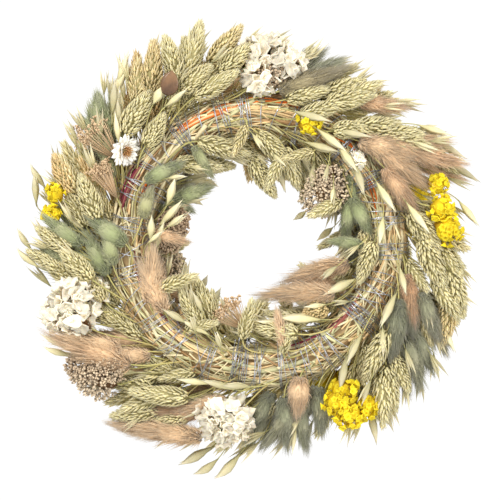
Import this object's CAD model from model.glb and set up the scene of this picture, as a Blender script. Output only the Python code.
"""Grows the dried flowers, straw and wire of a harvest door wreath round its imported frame."""

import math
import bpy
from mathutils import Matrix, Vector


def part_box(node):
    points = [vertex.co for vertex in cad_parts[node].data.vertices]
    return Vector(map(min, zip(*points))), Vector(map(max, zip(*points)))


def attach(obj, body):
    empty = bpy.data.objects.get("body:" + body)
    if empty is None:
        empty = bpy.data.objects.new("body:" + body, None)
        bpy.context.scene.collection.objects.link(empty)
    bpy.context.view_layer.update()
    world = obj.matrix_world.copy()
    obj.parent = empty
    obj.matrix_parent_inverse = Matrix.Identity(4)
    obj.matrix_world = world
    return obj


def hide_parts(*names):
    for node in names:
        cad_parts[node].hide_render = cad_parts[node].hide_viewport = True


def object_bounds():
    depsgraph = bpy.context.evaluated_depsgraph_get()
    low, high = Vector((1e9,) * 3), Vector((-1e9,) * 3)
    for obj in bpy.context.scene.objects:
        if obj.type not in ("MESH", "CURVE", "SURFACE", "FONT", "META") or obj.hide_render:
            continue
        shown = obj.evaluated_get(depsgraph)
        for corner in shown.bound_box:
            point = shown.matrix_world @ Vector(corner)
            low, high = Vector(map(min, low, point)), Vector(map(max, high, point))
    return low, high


bl_info = {
    "name": "Harvest door wreath",
    "version": (1, 0, 0),
    "blender": (4, 5, 0),
    "location": "3D View > Sidebar > Wreath",
    "description": "Grows dried grasses, flowers, straw and binding wire on a door wreath's frame",
    "category": "Object",
}

import bpy
import numpy as np
from bpy.props import FloatProperty, FloatVectorProperty, IntProperty, PointerProperty
from mathutils import Vector

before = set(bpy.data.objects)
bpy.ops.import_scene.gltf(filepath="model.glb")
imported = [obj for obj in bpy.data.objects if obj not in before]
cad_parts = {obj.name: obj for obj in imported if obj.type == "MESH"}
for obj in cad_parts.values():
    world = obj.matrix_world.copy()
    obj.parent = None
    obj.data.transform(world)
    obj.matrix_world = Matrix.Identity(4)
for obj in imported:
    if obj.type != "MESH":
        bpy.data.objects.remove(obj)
CAD_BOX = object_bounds()

MM = 0.001
GOLDEN_ANGLE = math.pi * (3 - math.sqrt(5))
FRONT = np.array([0.0, 1.0, 0.0])

# The ring, as the frame has it: the straw's section and the circle that it is packed round.
STRAW_LOW, STRAW_HIGH = (np.array(corner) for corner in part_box("straw_ring"))
WIRE_LOW, WIRE_HIGH = (np.array(corner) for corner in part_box("binding_wire"))
CENTRE = (STRAW_LOW + STRAW_HIGH) / 2
STRAW_RADIUS = (STRAW_HIGH[1] - STRAW_LOW[1]) / 2
RING_RADIUS = (STRAW_HIGH[2] - STRAW_LOW[2]) / 2 - STRAW_RADIUS
BOUND_RADIUS = (WIRE_HIGH[1] - WIRE_LOW[1]) / 2
CENTRE[1] = 0.0

# How far the plants may reach: their depths on the door side and the front side, and their distance from the
# centre. A head's middle stays inside these by its own width, and hairs and tips are eased towards them.
DOOR_DEPTH = CAD_BOX[0][1] - 11 * MM
FRONT_DEPTH = CAD_BOX[1][1] + 10 * MM
REACH = (CAD_BOX[1][0] - CAD_BOX[0][0]) / 2 + 17 * MM


# ---------------------------------------------------------------------------------------------
# Directions on the ring. Clock angles run clockwise from the top, seen from the door side, and
# around angles run round the ring's section: 0 outwards, 90 front, 180 inwards, 270 door side.
# ---------------------------------------------------------------------------------------------


def ring_directions(clock, around):
    """Outward (sin c, 0, cos c), clockwise (cos c, 0, -sin c), and the normal between outward and front."""
    clock, around = np.broadcast_arrays(np.radians(clock), np.radians(around))
    zero = np.zeros_like(clock)
    outward = np.stack([np.sin(clock), zero, np.cos(clock)], -1)
    clockwise = np.stack([np.cos(clock), zero, -np.sin(clock)], -1)
    normal = outward * np.cos(around)[..., None] + FRONT * np.sin(around)[..., None]
    return outward, clockwise, normal


def ring_point(clock, around, distance):
    """The point at a distance from the middle of the ring's section, along the section's normal."""
    outward, _, normal = ring_directions(clock, around)
    distance = np.broadcast_to(distance, normal.shape[:-1])
    return CENTRE + outward * RING_RADIUS + normal * distance[..., None]


def unit(vectors):
    """Vectors divided by their own lengths."""
    return vectors / np.maximum(np.linalg.norm(vectors, axis=-1, keepdims=True), 1e-12)


def basis(axis, facing):
    """Rows x, y, z with z along axis and y as near to facing as a right angle allows."""
    axis = unit(axis)
    y = unit(facing - np.sum(facing * axis, -1, keepdims=True) * axis)
    return np.stack([np.cross(y, axis), y, axis], -2)


def eased(value, knee, limit):
    """The value up to the knee, then knee + (limit - knee) tanh((value - knee) / (limit - knee))."""
    room = limit - knee
    past = value * np.sign(room) > knee * np.sign(room)
    return np.where(past, knee + room * np.tanh((value - knee) / room), value)


# How far the heads reach from the wreath's centre at a few clock angles, and how near to it those inside
# come, as (clock angle, millimetres).
OUTER_EDGE = (
    (0, 154), (40, 149), (72, 164), (87, 152), (110, 165), (142, 170), (170, 155), (225, 174), (290, 164),
    (330, 169),
)
INNER_EDGE = ((0, 36), (60, 34), (85, 52), (130, 33), (180, 44), (230, 52), (310, 54), (340, 58))


# Heads narrower than this may pass the outer edge by this much.
THIN_HEAD = 8 * MM
THIN_HEAD_PASSES = 8 * MM


def edge_at(edge, clock):
    """The edge's distance in metres at clock angles, straight between its points."""
    angles, reaches = np.array(edge, float).T
    return np.interp(clock % 360, angles, reaches, period=360) * MM


def kept_in_outline(base, axis, length, width):
    """Bases moved straight in or out, so that no head's tip is past the outline or too far inside the hole.
    Thin heads may pass the outer edge by a little, and the inner edge by half of that."""
    thin = np.where(width < THIN_HEAD, THIN_HEAD_PASSES, 0.0)
    local = base + axis * (length * np.ones(len(base)))[:, None] - CENTRE
    local[:, 1] = 0
    radius = np.linalg.norm(local, axis=1)
    clock = np.degrees(np.arctan2(local[:, 0], local[:, 2]))
    past = np.maximum(radius - edge_at(OUTER_EDGE, clock) - thin, 0)
    inside = np.maximum(edge_at(INNER_EDGE, clock) - thin / 2 - radius, 0)
    return base - unit(local) * (past - inside)[:, None]


def kept_in_room(points):
    """Points eased towards the farthest depth on either side, and towards the farthest reach from the
    centre."""
    points = points.copy()
    points[:, 1] = eased(points[:, 1], DOOR_DEPTH + 5 * MM, DOOR_DEPTH)
    points[:, 1] = eased(points[:, 1], FRONT_DEPTH - 8 * MM, FRONT_DEPTH)
    local = points - CENTRE
    radius = np.maximum(np.hypot(local[:, 0], local[:, 2]), 1e-9)
    share = eased(radius, REACH - 14 * MM, REACH) / radius
    points[:, 0] = CENTRE[0] + local[:, 0] * share
    points[:, 2] = CENTRE[2] + local[:, 2] * share
    return points


# ---------------------------------------------------------------------------------------------
# Surfaces. Each is closed: rings of points between a first and a last pole.
# ---------------------------------------------------------------------------------------------


def closed_faces(rings, sides):
    """Triangles over a pole, rings of points that run anticlockwise seen from the tip, and a last pole."""
    k = np.arange(sides)
    n = (k + 1) % sides
    foot = np.stack([np.zeros(sides, int), 1 + n, 1 + k], 1)
    row = 1 + np.arange(rings - 1)[:, None] * sides
    a, b = row + k, row + n
    c, d = a + sides, b + sides
    wall = np.concatenate([np.stack([a, b, d], -1).reshape(-1, 3), np.stack([a, d, c], -1).reshape(-1, 3)])
    top = 1 + (rings - 1) * sides
    tip = np.stack([top + k, top + n, np.full(sides, top + sides)], 1)
    return np.concatenate([foot, wall, tip])


class Shape:
    """A small closed shape, one long, that is copied many times. It also holds how far along and how near its
    ridge each point is."""

    def __init__(self, points, faces, along, ridge):
        self.points, self.faces, self.along, self.ridge = points, faces, along, ridge


def spindle(outline, sides=6, thick=1.0, bow=0.0):
    """A spindle on +Z: at height z its section is an ellipse, outline(z) wide and thick times that deep,
    whose middle is pushed along +Y by bow times sin(pi z). The outline lists half-widths at even
    heights."""
    heights = np.arange(1, len(outline) + 1) / (len(outline) + 1)
    angle = np.arange(sides) / sides * 2 * math.pi
    half = np.asarray(outline)[:, None]
    x = half * np.cos(angle)
    y = thick * half * np.sin(angle) + bow * np.sin(math.pi * heights)[:, None]
    z = np.broadcast_to(heights[:, None], x.shape)
    body = np.stack([x, y, z], -1).reshape(-1, 3)
    points = np.concatenate([[[0, 0, 0]], body, [[0, 0, 1]]]).astype(float)
    ridge = np.concatenate([[0.5], np.tile(np.abs(np.sin(angle)), len(outline)), [0.5]])
    return Shape(points, closed_faces(len(outline), sides), points[:, 2].copy(), ridge)


def sharp_hair():
    """A long three-sided point: a triangle of unit radius at the foot and one point at height 1."""
    angle = np.arange(3) / 3 * 2 * math.pi
    foot = np.stack([np.cos(angle), np.sin(angle), np.zeros(3)], 1)
    points = np.concatenate([foot, [[0, 0, 1]]])
    faces = np.array([[0, 1, 3], [1, 2, 3], [2, 0, 3], [0, 2, 1]])
    return Shape(points, faces, points[:, 2].copy(), np.array([1.0, 0.3, 0.3, 0.8]))


def papery_cup(lobes=5, per_lobe=2, ruffle=0.13):
    """A small ruffled funnel with a wall: the profile runs up the outside from the foot, over the rim and
    down the inside, and the rim's height and radius swing with cos(lobes angle)."""
    sides = lobes * per_lobe
    angle = np.arange(sides) / sides * 2 * math.pi
    radius = np.array([0.16, 0.42, 1.0, 0.94, 0.34])
    height = np.array([0.2, 0.55, 0.9, 0.98, 0.6])
    swing = np.array([0.0, 0.25, 1.0, 1.0, 0.25])
    wave = np.cos(lobes * angle)
    r = radius[:, None] * (1 + 0.15 * swing[:, None] * wave)
    z = height[:, None] + ruffle * swing[:, None] * np.cos(lobes * angle * 2 + 0.8)
    body = np.stack([r * np.cos(angle), r * np.sin(angle), z], -1).reshape(-1, 3)
    points = np.concatenate([[[0, 0, 0]], body, [[0, 0, 0.42]]])
    along = np.concatenate([[0], np.repeat([0.12, 0.5, 1, 1, 0.45], sides), [0.25]])
    ridge = np.concatenate([[0.5], np.tile(wave * 0.5 + 0.5, len(radius)), [0.5]])
    return Shape(points, closed_faces(len(radius), sides), along, ridge)


class Growth:
    """The triangles of one piece, with a growth colour at each point: along, tint, tone and ridge, 0 to 1."""

    def __init__(self):
        self.points, self.faces, self.growth, self.finish = [], [], [], []
        self.count = 0

    def add(self, points, faces, along, tint, tone, ridge, finish=0):
        values = [np.broadcast_to(value, len(points)) for value in (along, tint, tone, ridge)]
        self.points.append(points)
        self.faces.append(faces + self.count)
        self.growth.append(np.stack(values, 1))
        self.finish.append(np.full(len(faces), finish))
        self.count += len(points)

    def copies(self, shape, origins, axes, sizes, tint, tone, finish=0):
        """Copies of a shape: point = origin + x size_x X + y size_y Y + z size_z Z, where X, Y and Z are
        the rows of axes."""
        origins = origins.reshape(-1, 3)
        sizes = np.broadcast_to(sizes, axes.shape[:-2] + (3,))
        axes = (axes * sizes[..., None]).reshape(-1, 3, 3)
        placed = np.einsum("nk,mkj->mnj", shape.points, axes) + origins[:, None]
        many, each = len(origins), len(shape.points)
        faces = shape.faces + (np.arange(many) * each)[:, None, None]
        tint = np.repeat(np.broadcast_to(tint, origins.shape[0]), each)
        tone = np.repeat(np.broadcast_to(tone, origins.shape[0]), each)
        along, ridge = np.tile(shape.along, many), np.tile(shape.ridge, many)
        self.add(placed.reshape(-1, 3), faces.reshape(-1, 3), along, tint, tone, ridge, finish)

    def tubes(self, paths, radius, facing, tint, tone, sides=5, flat=1.0, finish=0):
        """Round or flattened tubes: point = path + radius (cos a X + flat sin a Y), X and Y square to it."""
        many, steps = paths.shape[:2]
        tangent = unit(np.gradient(paths, axis=1))
        side = unit(np.cross(np.broadcast_to(facing, tangent.shape), tangent))
        rise = np.cross(tangent, side)
        angle = np.arange(sides) / sides * 2 * math.pi
        radius = np.broadcast_to(radius, (many, steps))[..., None, None]
        spokes = side[:, :, None] * np.cos(angle)[:, None] + rise[:, :, None] * np.sin(angle)[:, None] * flat
        body = (paths[:, :, None] + radius * spokes).reshape(many, -1, 3)
        points = np.concatenate([paths[:, :1], body, paths[:, -1:]], 1)
        each = points.shape[1]
        faces = closed_faces(steps, sides) + (np.arange(many) * each)[:, None, None]
        along = np.concatenate([[0], np.repeat(np.linspace(0, 1, steps), sides), [1]])
        ridge = np.concatenate([[0.5], np.tile(np.abs(np.sin(angle)), steps), [0.5]])
        tint = np.repeat(np.broadcast_to(tint, many), each)
        tone = np.repeat(np.broadcast_to(tone, many), each)
        along, ridge = np.tile(along, many), np.tile(ridge, many)
        self.add(points.reshape(-1, 3), faces.reshape(-1, 3), along, tint, tone, ridge, finish)

    def piece(self, name, materials, slot=None, stands_for=()):
        """Puts the triangles in a mesh at the origin, and says what the piece is in the frame."""
        points, faces = kept_in_room(np.concatenate(self.points)), np.concatenate(self.faces)
        mesh = bpy.data.meshes.new(name)
        mesh.vertices.add(len(points))
        mesh.vertices.foreach_set("co", points.ravel())
        mesh.loops.add(faces.size)
        mesh.loops.foreach_set("vertex_index", faces.ravel())
        mesh.polygons.add(len(faces))
        mesh.polygons.foreach_set("loop_start", np.arange(0, faces.size, 3))
        mesh.polygons.foreach_set("use_smooth", np.ones(len(faces), bool))
        mesh.polygons.foreach_set("material_index", np.concatenate(self.finish))
        colour = mesh.attributes.new("growth", "FLOAT_COLOR", "POINT")
        colour.data.foreach_set("color", np.concatenate(self.growth).ravel())
        for material in materials:
            mesh.materials.append(material)
        mesh.update()
        mesh.validate()
        piece = bpy.data.objects.new(name, mesh)
        bpy.context.scene.collection.objects.link(piece)
        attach(piece, "root")
        if stands_for:
            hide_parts(*stands_for)
        return piece


# ---------------------------------------------------------------------------------------------
# Heads. A bed of heads is one row for each head: where its base is, which way it points, which
# way it faces, its length and width, how it bends and its tone of colour.
# ---------------------------------------------------------------------------------------------


class Heads:
    """Arrays for the heads of one kind of plant. A head's axis is base + length (u axis + u^2 bend)."""

    def __init__(self, base, axis, facing, length, width, tone, bend):
        rows = len(base)
        self.axis = unit(axis)
        middle = base[:, 1] + self.axis[:, 1] * length / 2
        half = width * np.ones(rows) * 0.52
        depth = np.clip(middle, DOOR_DEPTH + half + 1.5 * MM, FRONT_DEPTH - half - 1.5 * MM)
        self.base = base + FRONT * (depth - middle)[:, None]
        frames = basis(self.axis, np.broadcast_to(facing, self.base.shape))
        self.side, self.rise = frames[:, 0], frames[:, 1]
        self.length = np.broadcast_to(length, rows)
        self.width = np.broadcast_to(width, rows)
        self.tone = np.broadcast_to(tone, rows)
        self.bend = bend

    def spine(self, share):
        """Points and directions at shares (rows, n) of each head's length."""
        share = share[..., None]
        length = self.length[:, None, None]
        points = self.base[:, None] + length * (share * self.axis[:, None] + share**2 * self.bend[:, None])
        return points, unit(self.axis[:, None] + 2 * share * self.bend[:, None])

    def core(self, growth, wide, long, tint, finish=0):
        """A smooth egg inside each head, along the chord of its bend."""
        axes = basis(self.axis + self.bend * long, self.rise)
        sizes = np.stack([self.width * wide, self.width * wide, self.length * long], -1)
        growth.copies(BODY, self.base, axes, sizes, tint, self.tone, finish)

    def around(self, angle):
        """Directions square to each head's axis, at angles (rows, n)."""
        return self.side[:, None] * np.cos(angle)[..., None] + self.rise[:, None] * np.sin(angle)[..., None]


CANARY_SCALE = spindle([1.0, 0.5], sides=4, thick=0.6, bow=0.1)
HAIR = sharp_hair()
HUSK = spindle([0.3, 0.75, 0.98, 0.72, 0.25], sides=6, thick=0.42, bow=0.05)
BRACT = spindle([0.55, 0.95, 1.0, 0.6], sides=6, thick=0.16, bow=0.16)
SEED = spindle([0.95, 0.85], sides=4)
BODY = spindle([0.5, 0.82, 0.98, 1.0, 0.88, 0.62, 0.3], sides=12)
CUP = papery_cup()
PETAL = papery_cup(lobes=3, per_lobe=4, ruffle=0.18)


def egg(share, fullness):
    """Half-width of a head at a share of its length: sin(pi share^0.8) to the power of fullness."""
    return np.sin(math.pi * np.clip(share, 0.001, 0.999) ** 0.8) ** fullness


def grow_canary(growth, heads, rng, scales=104):
    """Canary grass: a dark egg under keeled scales on a golden spiral, each tipped out from the axis,
    widely at the foot of the head and hardly at its tip."""
    rows = len(heads.base)
    order = (np.arange(scales) + 0.5) / scales
    share = np.clip(order**0.92 + rng.normal(0, 0.006, (rows, scales)), 0.01, 0.99)
    turn = np.arange(scales) * GOLDEN_ANGLE + rng.normal(0, 0.12, (rows, scales))
    points, along = heads.spine(share * 0.86)
    out = heads.around(turn)
    half = (heads.width * 0.43)[:, None] * egg(share * 0.93 + 0.05, 0.55) * (1.08 - 0.38 * share)
    tilt = np.radians(40 - 26 * share + rng.normal(0, 5, share.shape))
    direction = along * np.cos(tilt)[..., None] + out * np.sin(tilt)[..., None]
    fine = math.sqrt(110 / scales)
    long = (heads.length * 0.2 * fine)[:, None] * (0.85 + 0.3 * rng.random(share.shape))
    origins = points + out * np.maximum(half - 0.85 * long * np.sin(tilt), half * 0.3)[..., None]
    broad = (heads.width * 0.084 * fine)[:, None] * (0.85 + 0.3 * rng.random(share.shape))
    sizes = np.stack([broad, broad, long], -1)
    tone = np.repeat(heads.tone, scales)
    growth.copies(CANARY_SCALE, origins, basis(direction, out), sizes, rng.random(rows * scales), tone)
    heads.core(growth, 0.29, 0.92, 0.05, 1)


def grow_tails(growth, heads, rng, hairs=640, brush=0.32):
    """Bunny tails: a soft egg under straight silky hairs on a golden spiral, all combed towards the tip."""
    rows = len(heads.base)
    order = (np.arange(hairs) + 0.5) / hairs
    share = np.clip(order + rng.normal(0, 0.01, (rows, hairs)), 0.0, 0.97)
    turn = np.arange(hairs) * GOLDEN_ANGLE + rng.normal(0, 0.2, (rows, hairs))
    points, along = heads.spine(share * 0.74)
    out = heads.around(turn)
    half = (heads.width / 2)[:, None] * egg(share * 0.9 + 0.06, 0.6)
    tilt = np.radians(60 - 62 * share**0.6 + rng.normal(0, 7, share.shape))
    origins = points + out * (half * 0.46)[..., None]
    direction = along * np.cos(tilt)[..., None] + out * np.sin(tilt)[..., None]
    own = 0.4 + 0.75 * rng.random(share.shape) ** 1.5
    long = (heads.length * brush)[:, None] * own * (0.42 + 0.78 * share)
    broad = np.full(share.shape, 0.36 * MM * math.sqrt(800 / hairs))
    sizes = np.stack([broad, broad, long], -1)
    tone = np.repeat(heads.tone, hairs)
    growth.copies(HAIR, origins, basis(direction, out), sizes, rng.random(rows * hairs), tone)
    heads.core(growth, 0.31, 0.82, 0.4)


def grow_oats(growth, heads, rng, finish):
    """Oats: each head is one spikelet, two long papery husks that open a little at the tip, and a smaller
    one."""
    rows = len(heads.base)
    frames = basis(heads.axis, heads.rise)
    spread = np.radians(4 + 5 * rng.random(rows))
    for lean, size in ((1, 1.0), (-1, 0.94), (0, 0.8)):
        axis = frames[:, 2] * np.cos(lean * spread)[:, None] + frames[:, 1] * np.sin(lean * spread)[:, None]
        facing = frames[:, 1] * (lean or 1)
        broad = heads.width / 2 * size
        sizes = np.stack([broad, broad, heads.length * size], -1)
        growth.copies(HUSK, heads.base, basis(axis, facing), sizes, rng.random(rows), heads.tone, finish)


def grow_cups(growth, heads, rng, cups=34, cup_size=3.6 * MM, packed=False):
    """Statice: papery cups on the round top of each head, on a golden spiral, over thin brown branches."""
    rows = len(heads.base)
    order = (np.arange(cups) + 0.5) / cups
    polar = np.arccos(1 - 1.75 * order)
    turn = np.arange(cups) * GOLDEN_ANGLE + rng.random((rows, 1)) * 6 + rng.normal(0, 0.2, (rows, cups))
    out = heads.around(turn)
    aim = heads.axis[:, None] * np.cos(polar)[:, None] + out * np.sin(polar)[:, None]
    centre = heads.base + heads.axis * (heads.length * 0.5)[:, None]
    reach = heads.axis[:, None] * (heads.length * 0.5)[:, None, None] * np.cos(polar)[:, None]
    reach = reach + out * (heads.width / 2)[:, None, None] * np.sin(polar)[:, None]
    swell = 0.6 + 0.55 * rng.random((rows, cups, 1)) if packed else 0.78 + 0.3 * rng.random((rows, cups, 1))
    origins = centre[:, None] + reach * swell - unit(aim) * cup_size
    direction = unit(aim + rng.normal(0, 0.22, aim.shape))
    own = np.clip(heads.width / (18 * MM), 0.55, 1.0)[:, None]
    size = cup_size * own * (0.75 + 0.45 * rng.random((rows, cups)))
    sizes = np.stack([size, size, size * 1.5], -1)
    facing = rng.normal(0, 1, aim.shape)
    shape = CUP if packed else PETAL
    if not packed:
        sizes = sizes * np.array([1.3, 0.85, 1.1])
    tone = np.repeat(heads.tone, cups)
    growth.copies(shape, origins, basis(direction, facing), sizes, rng.random(rows * cups), tone)
    if packed:
        heads.core(growth, 0.4, 0.96, 0.3)
    bend = np.linspace(0, 1, 4)[:, None]
    starts = np.repeat(heads.base, cups, 0)[:, None]
    ends = origins.reshape(-1, 1, 3)
    sag = np.repeat(heads.axis, cups, 0)[:, None] * 0.2 * np.repeat(heads.length, cups)[:, None, None]
    paths = starts + (ends - starts) * bend + sag * bend * (1 - bend)
    facing = np.repeat(heads.side, cups, 0)[:, None]
    growth.tubes(paths, 0.28 * MM, facing, rng.random(len(paths)), 0.5, sides=3, finish=1)


def grow_umbels(growth, heads, rng, rays=60, seeds=4):
    """Umbels: fine rays from one hub, in a cone, each with a tuft of small seeds at its end."""
    rows = len(heads.base)
    order = (np.arange(rays) + 0.5) / rays
    spread = np.arctan2(heads.width / 2, heads.length)[:, None] * np.sqrt(order) * 1.1
    turn = np.arange(rays) * GOLDEN_ANGLE + rng.normal(0, 0.2, (rows, rays))
    out = heads.around(turn)
    aim = heads.axis[:, None] * np.cos(spread)[..., None] + out * np.sin(spread)[..., None]
    long = heads.length[:, None] * (0.7 + 0.3 * rng.random((rows, rays)))
    ends = heads.base[:, None] + aim * long[..., None]
    t = np.linspace(0, 1, 5)[:, None]
    starts = np.broadcast_to(heads.base[:, None, None], (rows, rays, 1, 3))
    bow = out[:, :, None] * (0.1 * heads.width)[:, None, None, None] * t * (1 - t)
    paths = starts + (ends[:, :, None] - starts) * t + bow
    paths = paths.reshape(-1, 5, 3)
    facing = np.repeat(heads.axis + heads.side * 0.3, rays, 0)[:, None]
    growth.tubes(paths, 0.24 * MM, facing, rng.random(len(paths)), 0.3, sides=3)
    origins = np.repeat(ends.reshape(-1, 3), seeds, 0) + rng.normal(0, 0.9 * MM, (rows * rays * seeds, 3))
    direction = np.repeat(aim.reshape(-1, 3), seeds, 0) + rng.normal(0, 0.5, (rows * rays * seeds, 3))
    facing = np.repeat(np.repeat(heads.side, rays, 0), seeds, 0)
    sizes = np.stack([0.75, 0.75, 2.1]) * MM * np.ones((len(origins), 3))
    tone = np.repeat(heads.tone, rays * seeds)
    growth.copies(SEED, origins, basis(direction, facing), sizes, rng.random(len(origins)), tone)


def grow_florets(growth, heads, rng, florets=240):
    """Yarrow: a round top packed with tiny florets, on a golden spiral, over thin branches."""
    rows = len(heads.base)
    order = (np.arange(florets) + 0.5) / florets
    polar = np.arccos(1 - 1.8 * order)
    turn = np.arange(florets) * GOLDEN_ANGLE + rng.normal(0, 0.25, (rows, florets))
    out = heads.around(turn)
    lump = 0.84 + 0.2 * np.sin(5 * turn + 3 * heads.tone[:, None]) * np.sin(4 * polar)
    reach = heads.axis[:, None] * (heads.length * 0.5)[:, None, None] * np.cos(polar)[:, None]
    reach = (reach + out * (heads.width / 2)[:, None, None] * np.sin(polar)[:, None]) * lump[..., None]
    origins = (heads.base + heads.axis * (heads.length * 0.48)[:, None])[:, None] + reach
    origins = origins + rng.normal(0, 0.9 * MM, origins.shape)
    direction = unit(reach) + rng.normal(0, 0.4, reach.shape)
    facing = np.broadcast_to(heads.side[:, None], reach.shape)
    sizes = np.stack([0.9, 0.9, 2.6]) * MM * (0.8 + 0.5 * rng.random((rows, florets, 1)))
    tone = np.repeat(heads.tone, florets)
    growth.copies(SEED, origins, basis(direction, facing), sizes, rng.random(rows * florets), tone)
    heads.core(growth, 0.2, 0.7, 0.0, 1)


def grow_stems(growth, heads, rng, finish, thick=0.62 * MM, back=17.0):
    """Stems: each is a cubic curve that lies along the bound ring, rises off it and runs into its head's
    base."""
    rows = len(heads.base)
    clock, around, distance = ring_place(heads.base)
    inward = np.abs(around - 180) < 90
    turn = np.where(inward, 1.3, 1.0) * (back + rng.normal(0, 5, rows))
    start = ring_point(clock - turn, around + rng.normal(0, 16, rows), STRAW_RADIUS - 2 * MM)
    first = ring_point(clock - 0.5 * turn, around, STRAW_RADIUS + 3 * MM)
    second = heads.base - heads.axis * (12 * MM)
    end = heads.base + heads.axis * (heads.length * 0.12)[:, None]
    t = np.linspace(0, 1, 12)[None, :, None]
    corners = [p[:, None] for p in (start, first, second, end)]
    paths = (1 - t) ** 3 * corners[0] + 3 * t * (1 - t) ** 2 * corners[1]
    paths = paths + 3 * t**2 * (1 - t) * corners[2] + t**3 * corners[3]
    tone = 0.12 + 0.5 * rng.random(rows)
    growth.tubes(paths, thick, heads.rise[:, None] + 0.01, rng.random(rows), tone, sides=5, finish=finish)


def ring_place(points):
    """Clock angle, around angle and distance from the middle of the ring's section, for points."""
    local = points - CENTRE
    clock = np.degrees(np.arctan2(local[..., 0], local[..., 2]))
    out = np.hypot(local[..., 0], local[..., 2]) - RING_RADIUS
    around = np.degrees(np.arctan2(local[..., 1], out)) % 360
    return clock, around, np.hypot(out, local[..., 1])


# ---------------------------------------------------------------------------------------------
# Where heads go
# ---------------------------------------------------------------------------------------------

CLUSTER_KINDS = ("white_statice", "yellow_statice", "brown_yarrow", "brown_umbel")
TAIL_KINDS = ("beige_bunny_tail", "green_bunny_tail", "grey_bunny_tail")


class Bunch:
    """One bunch of the frame: its kind of plant, and the base, axis, length and width of its solid's
    heads."""

    def __init__(self, node):
        self.node = node
        self.kind, self.zone, slot = node.rsplit("_", 2)
        self.slot = int(slot)
        points = np.empty(len(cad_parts[node].data.vertices) * 3, np.float32)
        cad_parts[node].data.vertices.foreach_get("co", points)
        points = np.unique(np.round(points.reshape(-1, 3).astype(float), 6), axis=0)
        middle = (points.min(0) + points.max(0)) / 2
        if self.kind in CLUSTER_KINDS:
            clock, around, _ = ring_place(middle)
            _, clockwise, normal = ring_directions(clock, around)
            self.axis = unit(0.8 * clockwise + 0.6 * normal)
            along = (points - middle) @ self.axis
            self.length, tip = np.ptp(along), middle + self.axis * along.max()
        else:
            tip = points[np.argmax(ring_place(points)[2])]
            nearest = points[np.argsort(np.linalg.norm(points - tip, axis=1))[1:9]]
            last_ring = nearest.mean(0)
            self.axis = unit(tip - last_ring)
            self.length = np.linalg.norm(tip - last_ring) * 5
        self.base = tip - self.axis * self.length
        beside = np.linalg.norm(np.cross(points - tip, self.axis), axis=1)
        self.width = 2 * beside[(points - self.base) @ self.axis > 0.1 * self.length].max()
        clock, around, _ = ring_place(self.base)
        self.facing = ring_directions(clock, around)[2]
        self.across = unit(np.cross(self.axis, FRONT))
        self.through = np.cross(self.across, self.axis)

    def heads(self, rows, length, width, rng, tone=0.5, spread=9.0, scatter=1.5 * MM):
        """Heads at rows of (along, across, through, size), as shares of the bunch's length and half-width,
        each turned a little away from the bunch's axis on its own side and bent a little clockwise."""
        rows = np.array(rows, float)
        along, across, through, size = rows.T
        if self.zone == "inner":
            keep = 2 if self.kind in TAIL_KINDS else 4
            rows, along, across = rows[:keep], along[:keep] - 0.4, across[:keep]
            through, size = through[:keep], size[:keep] * 0.8
        half = self.width / 2
        base = self.base + self.axis * (along * self.length)[:, None] + self.across * (across * half)[:, None]
        base = base + self.through * (through * half)[:, None] + rng.normal(0, scatter, (len(rows), 3))
        fan = np.radians(spread) * across + rng.normal(0, 0.07, len(rows))
        tilt = np.radians(spread) * through + rng.normal(0, 0.07, len(rows))
        axis = self.axis + self.across * np.tan(fan)[:, None] + self.through * np.tan(tilt)[:, None]
        tones = np.clip(tone + rng.normal(0, 0.16, len(rows)), 0, 1)
        bend = rng.normal(0, 0.05, (len(rows), 3))
        sizes = size * (0.93 + 0.14 * rng.random(len(rows)))
        base = kept_in_outline(base, unit(axis), length * sizes, width * sizes)
        facing = self.facing + rng.normal(0, 0.1, (len(rows), 3))
        return Heads(base, axis, facing, length * sizes, width * sizes, tones, bend)


ZONES = ("outer", "inner", "face", "back")
BUNCHES = [Bunch(node) for node in sorted(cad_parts) if node.rsplit("_", 1)[0].endswith(ZONES)]

# Rows of (along, across, through, size) for the heads of one bunch.
CANARY_ROWS = (
    (-0.36, -0.35, -0.35, 0.8),
    (-0.26, 0.75, 0.35, 0.85),
    (-0.04, -0.75, 0.2, 0.95),
    (0.1, 0.35, -0.45, 1.0),
    (0.3, -0.25, 0.4, 1.0),
    (0.34, 0.85, 0.1, 0.92),
)
TAIL_ROWS = (
    (-0.3, 0.2, -0.3, 0.85),
    (-0.14, -0.75, 0.3, 0.9),
    (0.06, 0.7, 0.0, 1.0),
    (0.16, -0.2, -0.45, 1.0),
    (0.24, -0.7, 0.5, 0.92),
)
CLUSTER_ROWS = (
    (0.45, -0.2, 0.0, 0.9),
    (0.3, 0.3, 0.3, 0.85),
    (0.5, -0.3, 0.1, 1.0),
)
UMBEL_ROWS = (
    (0.0, -0.3, -0.2, 0.9),
    (0.2, 0.35, 0.2, 1.0),
)
OAT_ROWS = (
    (-0.1, 0.6, 0.2, 0.9),
    (0.05, -0.8, -0.3, 1.0),
    (0.3, 0.25, 0.5, 1.0),
    (0.42, 0.9, -0.2, 0.95),
    (0.5, -0.5, 0.1, 1.05),
    (0.66, 0.1, -0.4, 1.0),
    (0.74, 0.6, 0.3, 0.9),
    (0.8, -0.3, 0.0, 1.0),
)
SIDE_OATS = (
    (-0.3, 1.0, -0.6, 0.9),
    (0.5, 1.15, -0.3, 1.0),
    (0.75, -1.0, 0.2, 0.95),
)

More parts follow.
